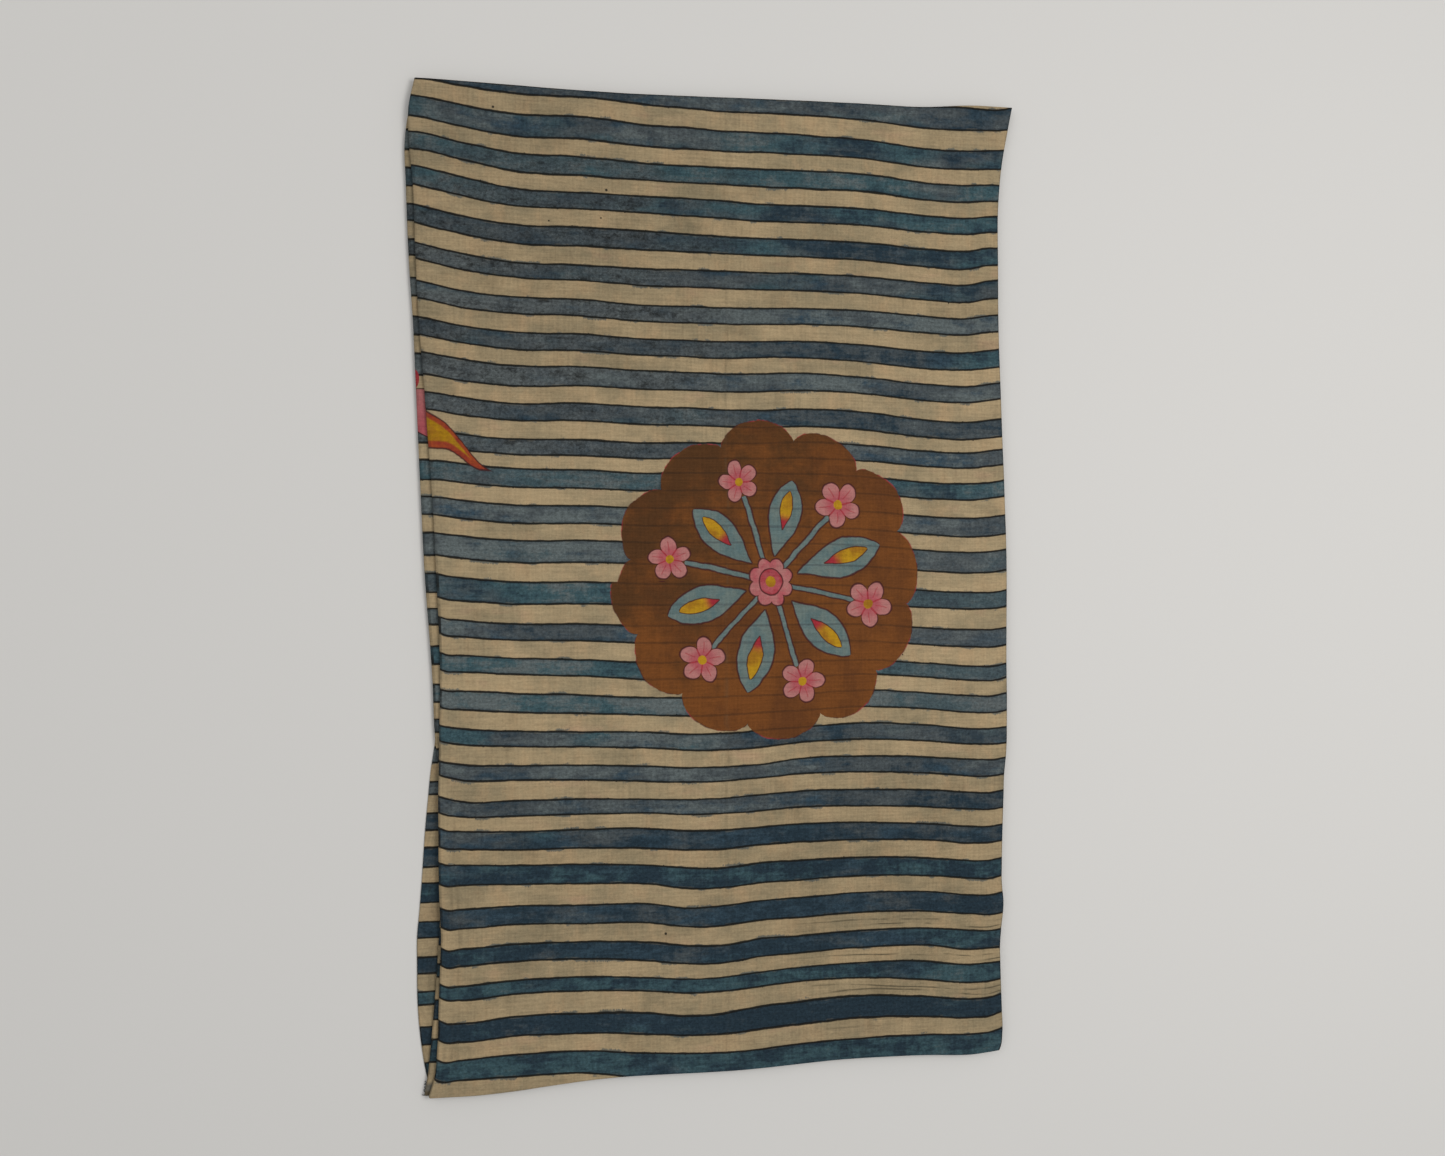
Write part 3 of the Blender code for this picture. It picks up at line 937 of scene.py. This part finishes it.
def paint_rosette(s, paint, radius, turn, wash, wet, strength):
    """The small rosette in the middle, pink petals round a red core."""
    rosette_share = s.math("FRACT", turn * ROSETTE_PETALS)
    rosette_rise = s.math("SINE", rosette_share * math.pi) ** 0.7 * ROSETTE_PETAL_RISE
    rosette = ROSETTE_NOTCH_RADIUS + rosette_rise - radius
    paint = s.mix(filled(s, rosette) * strength, paint, s.mix(wash, PINK, DEEP_PINK))
    paint = s.mix(outline(s, rosette, 0.9) * strength, paint, DARK_RED)
    core = ROSETTE_CORE_RADIUS - radius
    paint = s.mix(filled(s, core) * strength, paint, s.mix(wet, RED, DEEP_PINK))
    paint = s.mix(outline(s, core, 0.8) * strength, paint, DARK_RED)
    return s.mix((1 - s.step(radius, 5.5, 6.3)) * strength, paint, dabbed(s, wet))


def leaf_inside(s, along, aside, start, end, half_width):
    """Distance into a leaf that is pointed at its far end and narrow at its near one."""
    share = s.out(
        "ShaderNodeMapRange", {"clamp": True},
        {"Value": along, "From Min": start, "From Max": end})
    belly = s.math("SINE", share ** 1.25 * math.pi) ** 0.8 * half_width
    in_reach = s.step(along, start, start + 0.5) * (1 - s.step(along, end - 0.5, end))
    return belly * in_reach - aside - (1 - in_reach) * 4


def paint_leaf_tips(s, paint, x, y, grain, strength):
    """The curved end of a painted leaf that comes round the top fold."""
    ragged = (grain(9, 9, 3, 0.6, shift=61) - 0.5) * 1.6
    along = x - LEAF_TIP_START + ragged
    top_bend = s.step(along, 16, 62) * LEAF_TIP_TOP_BEND
    bottom_bend = s.step(along, 18, 58) * LEAF_TIP_BOTTOM_BEND
    above = LEAF_TIP_TOP - along * LEAF_TIP_TOP_SLOPE - top_bend - y - ragged
    below = y + ragged - LEAF_TIP_BOTTOM + along * LEAF_TIP_BOTTOM_SLOPE + bottom_bend
    tip = s.math("MINIMUM", above, below) * LEAF_TIP_SLANT
    core_above = above - LEAF_TIP_TOP_BORDER
    core_below = below - LEAF_TIP_BOTTOM_BORDER
    core = s.math("MINIMUM", core_above, core_below) * LEAF_TIP_SLANT
    on_top = s.step(x, TOP_LAYER_START - 10, TOP_LAYER_START)
    wash = s.step(grain(14, 10, 4, 0.65, shift=67), 0.38, 0.62)
    border = s.mix(wash, LEAF_ORANGE, LEAF_RED)
    paint = s.mix(filled(s, tip) * on_top * strength, paint, border)
    yellow = s.mix(wash, LEAF_YELLOW, OCHRE)
    paint = s.mix(s.step(core, -1.0, 1.2) * on_top * strength, paint, yellow)
    return s.mix(outline(s, tip, 0.8) * on_top * strength, paint, DARK_RED)


# How much of the paint has come through to the cloth's back
BACK_STRENGTH = 0.55


def lay_out():
    """Every point of the folded sheet by column and row, and what its paint has to know."""
    path = fold_path()
    size = (len(path), len(ROWS_UP))
    points = np.empty((*size, 3))
    names = ("stripe", "dye_edge", "paleness", "rim", "depth", "painted_crease_shade")
    values = {name: np.zeros(size) for name in names}
    for i, station in enumerate(path):
        kind, layer, share = station
        across, up, height = place_column(station, ROWS_UP)
        points[i] = np.stack([across, up, height], axis=1)
        number, dye_edge, paleness = paint_coordinates(station, across, up)
        depth = layer if kind == "layer" else layer + share
        values["stripe"][i] = number
        values["dye_edge"][i] = dye_edge
        values["paleness"][i] = paleness
        values["depth"][i] = depth
        values["painted_crease_shade"][i] = painted_crease_shade_at(depth, across, up)
        if kind == "layer":
            left, right = flat_ends(layer, up)
            values["rim"][i] = np.minimum(across - left, right - across)
    return points, values


def places_laid_flat(points):
    """Where each point is on the opened cloth, so that the paint goes round the folds with it."""
    lengths = np.linalg.norm(np.diff(points[:, :, [0, 2]], axis=0), axis=2)
    travelled = np.zeros(points.shape[:2])
    travelled[1:] = np.cumsum(lengths, axis=0)
    across = travelled - travelled[-1] + points[-1, :, 0]
    return np.stack([across.ravel(), points[:, :, 1].ravel()], axis=1) * MM


def build_cloth():
    """The whole painted cloth as one thin folded sheet."""
    points, attributes = lay_out()
    columns, rows = points.shape[:2]
    flat_places = places_laid_flat(points)
    lowest = points.reshape(-1, 3).min(axis=0)
    highest = points.reshape(-1, 3).max(axis=0)
    points[:, :, :2] -= (lowest[:2] + highest[:2]) / 2

    mesh = bpy.data.meshes.new("painted_cloth")
    index = np.arange(columns * rows).reshape(columns, rows)
    faces = np.stack(
        [index[:-1, :-1], index[1:, :-1], index[1:, 1:], index[:-1, 1:]], axis=2)
    mesh.from_pydata((points.reshape(-1, 3) * MM).tolist(), [], faces.reshape(-1, 4).tolist())
    flat_map = mesh.uv_layers.new(name="painted")
    corners = np.empty(len(mesh.loops), dtype=int)
    mesh.loops.foreach_get("vertex_index", corners)
    flat_map.data.foreach_set("uv", flat_places[corners].ravel())
    for name, values in attributes.items():
        attribute = mesh.attributes.new(name, "FLOAT", "POINT")
        attribute.data.foreach_set("value", values.ravel())
    mesh.shade_smooth()
    cloth = bpy.data.objects.new("painted_cloth", mesh)
    bpy.context.scene.collection.objects.link(cloth)
    mesh.materials.append(painted_face("painted_cotton", 1.0))
    mesh.materials.append(painted_face("cotton_back", BACK_STRENGTH))
    sheet = cloth.modifiers.new("Sheet", "SOLIDIFY")
    sheet.thickness = SHEET_THICKNESS * MM
    sheet.offset = 0.0
    sheet.material_offset = 1
    sheet.material_offset_rim = 0
    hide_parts("folded_cloth")
    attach(cloth, "root")


# Loose warp ends at the lowest left corner
THREAD_COUNT = 14
THREAD_RADIUS = 0.35
THREAD_POINTS = 7
THREAD_LENGTH = 3.0
THREAD_LENGTH_SPREAD = 1.4
THREAD_HEADING = 225
THREAD_HEADING_SPREAD = 32
THREAD_START_HEIGHT = 3.4
THREADS_START = (-322, -536)
THREADS_RUN = (-2.5, -15)
THREADS_SCATTER = 1.2


def build_loose_threads():
    """Short frayed ends, dark with dye, lying at the corner where the layers meet."""
    curve = bpy.data.curves.new("loose_threads", "CURVE")
    curve.dimensions = "3D"
    curve.bevel_depth = THREAD_RADIUS * MM
    curve.bevel_resolution = 2
    curve.use_fill_caps = True
    for number in range(THREAD_COUNT):
        down = number / (THREAD_COUNT - 1)
        scatter = THREADS_SCATTER * math.sin(number * 2.3)
        across = THREADS_START[0] + THREADS_RUN[0] * down + scatter
        up = THREADS_START[1] + THREADS_RUN[1] * down
        length = THREAD_LENGTH + THREAD_LENGTH_SPREAD * math.sin(number * 1.7)
        heading = THREAD_HEADING + THREAD_HEADING_SPREAD * math.sin(number * 3.1)
        spline = curve.splines.new("POLY")
        spline.points.add(THREAD_POINTS - 1)
        for i in range(THREAD_POINTS):
            share = i / (THREAD_POINTS - 1)
            bend = math.radians(heading + 45 * share * math.sin(number * 2.1 + share * 3))
            height = THREAD_RADIUS + 0.2 + THREAD_START_HEIGHT * (1 - share) ** 2
            spline.points[i].co = (
                (across + length * share * math.cos(bend)) * MM,
                (up + length * share * math.sin(bend)) * MM, height * MM, 1)
    threads = bpy.data.objects.new("loose_threads", curve)
    bpy.context.scene.collection.objects.link(threads)
    s = Shade("dark_thread")
    spot = s.node("ShaderNodeTexCoord")
    twist = s.noise(Socket(s, spot.outputs["Object"]), 900.0, 2.0)
    s.set(Base_Color=s.mix(s.step(twist, 0.4, 0.6), SLATE, INK_AND_SHADE), Roughness=0.95)
    curve.materials.append(s.material)
    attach(threads, "root")


FLOOR_SIZE = 12
FLOOR_DROP = 0.0004
FLOOR_COLOUR = colour(0.62, 0.60, 0.57)


def build_floor():
    bpy.ops.object.select_all(action="DESELECT")
    bpy.ops.mesh.primitive_plane_add(size=FLOOR_SIZE, location=(0, 0, 0))
    floor = bpy.context.object
    floor.name = "floor"
    for vertex in floor.data.vertices:
        vertex.co.z -= FLOOR_DROP
    s = Shade("floor_paint")
    s.set(Base_Color=FLOOR_COLOUR, Roughness=0.9)
    floor.data.materials.append(s.material)
    return floor


def add_area_light(name, place, size, power):
    """A soft round lamp that looks at the middle of the cloth."""
    light = bpy.data.lights.new(name, "AREA")
    light.shape = "DISK"
    light.size = size
    light.energy = power
    lamp = bpy.data.objects.new(name, light)
    lamp.location = place
    flat = math.hypot(place[0], place[1])
    lean = math.atan2(flat, place[2])
    heading = math.atan2(-place[1], -place[0]) - math.pi / 2
    lamp.rotation_euler = (lean, 0.0, heading)
    bpy.context.scene.collection.objects.link(lamp)


STUDIO_COLOUR = colour(0.96, 0.98, 1.0)
STUDIO_STRENGTH = 0.55


def build_light():
    """Soft light from all round, and a key and a fill lamp above the cloth."""
    world = bpy.data.worlds.new("studio")
    bpy.context.scene.world = world
    world.use_nodes = True
    background = world.node_tree.nodes["Background"]
    background.inputs["Color"].default_value = STUDIO_COLOUR
    background.inputs["Strength"].default_value = STUDIO_STRENGTH
    add_area_light("key", place=(1.3, 0.2, 2.5), size=1.6, power=37)
    add_area_light("fill", place=(-1.9, 0.9, 2.2), size=2.0, power=12)


CAMERA_LEAN = math.radians(12)
CAMERA_DISTANCE = 1.57
CAMERA_AIM = (0.0, 0.004, 0.010)
LENS = 35
SENSOR_WIDTH = 36


def build_camera():
    """The photo's view: almost straight down, leaning a little towards the stepped folds."""
    camera = bpy.data.cameras.new("camera")
    camera.lens = LENS
    camera.sensor_width = SENSOR_WIDTH
    body = bpy.data.objects.new("camera", camera)
    body.location = (
        CAMERA_AIM[0] - CAMERA_DISTANCE * math.sin(CAMERA_LEAN), CAMERA_AIM[1],
        CAMERA_AIM[2] + CAMERA_DISTANCE * math.cos(CAMERA_LEAN))
    body.rotation_euler = (0.0, -CAMERA_LEAN, 0.0)
    bpy.context.scene.collection.objects.link(body)
    bpy.context.scene.camera = body


bpy.context.scene.view_settings.view_transform = "Standard"
build_cloth()
build_loose_threads()
build_floor()
build_light()
build_camera()
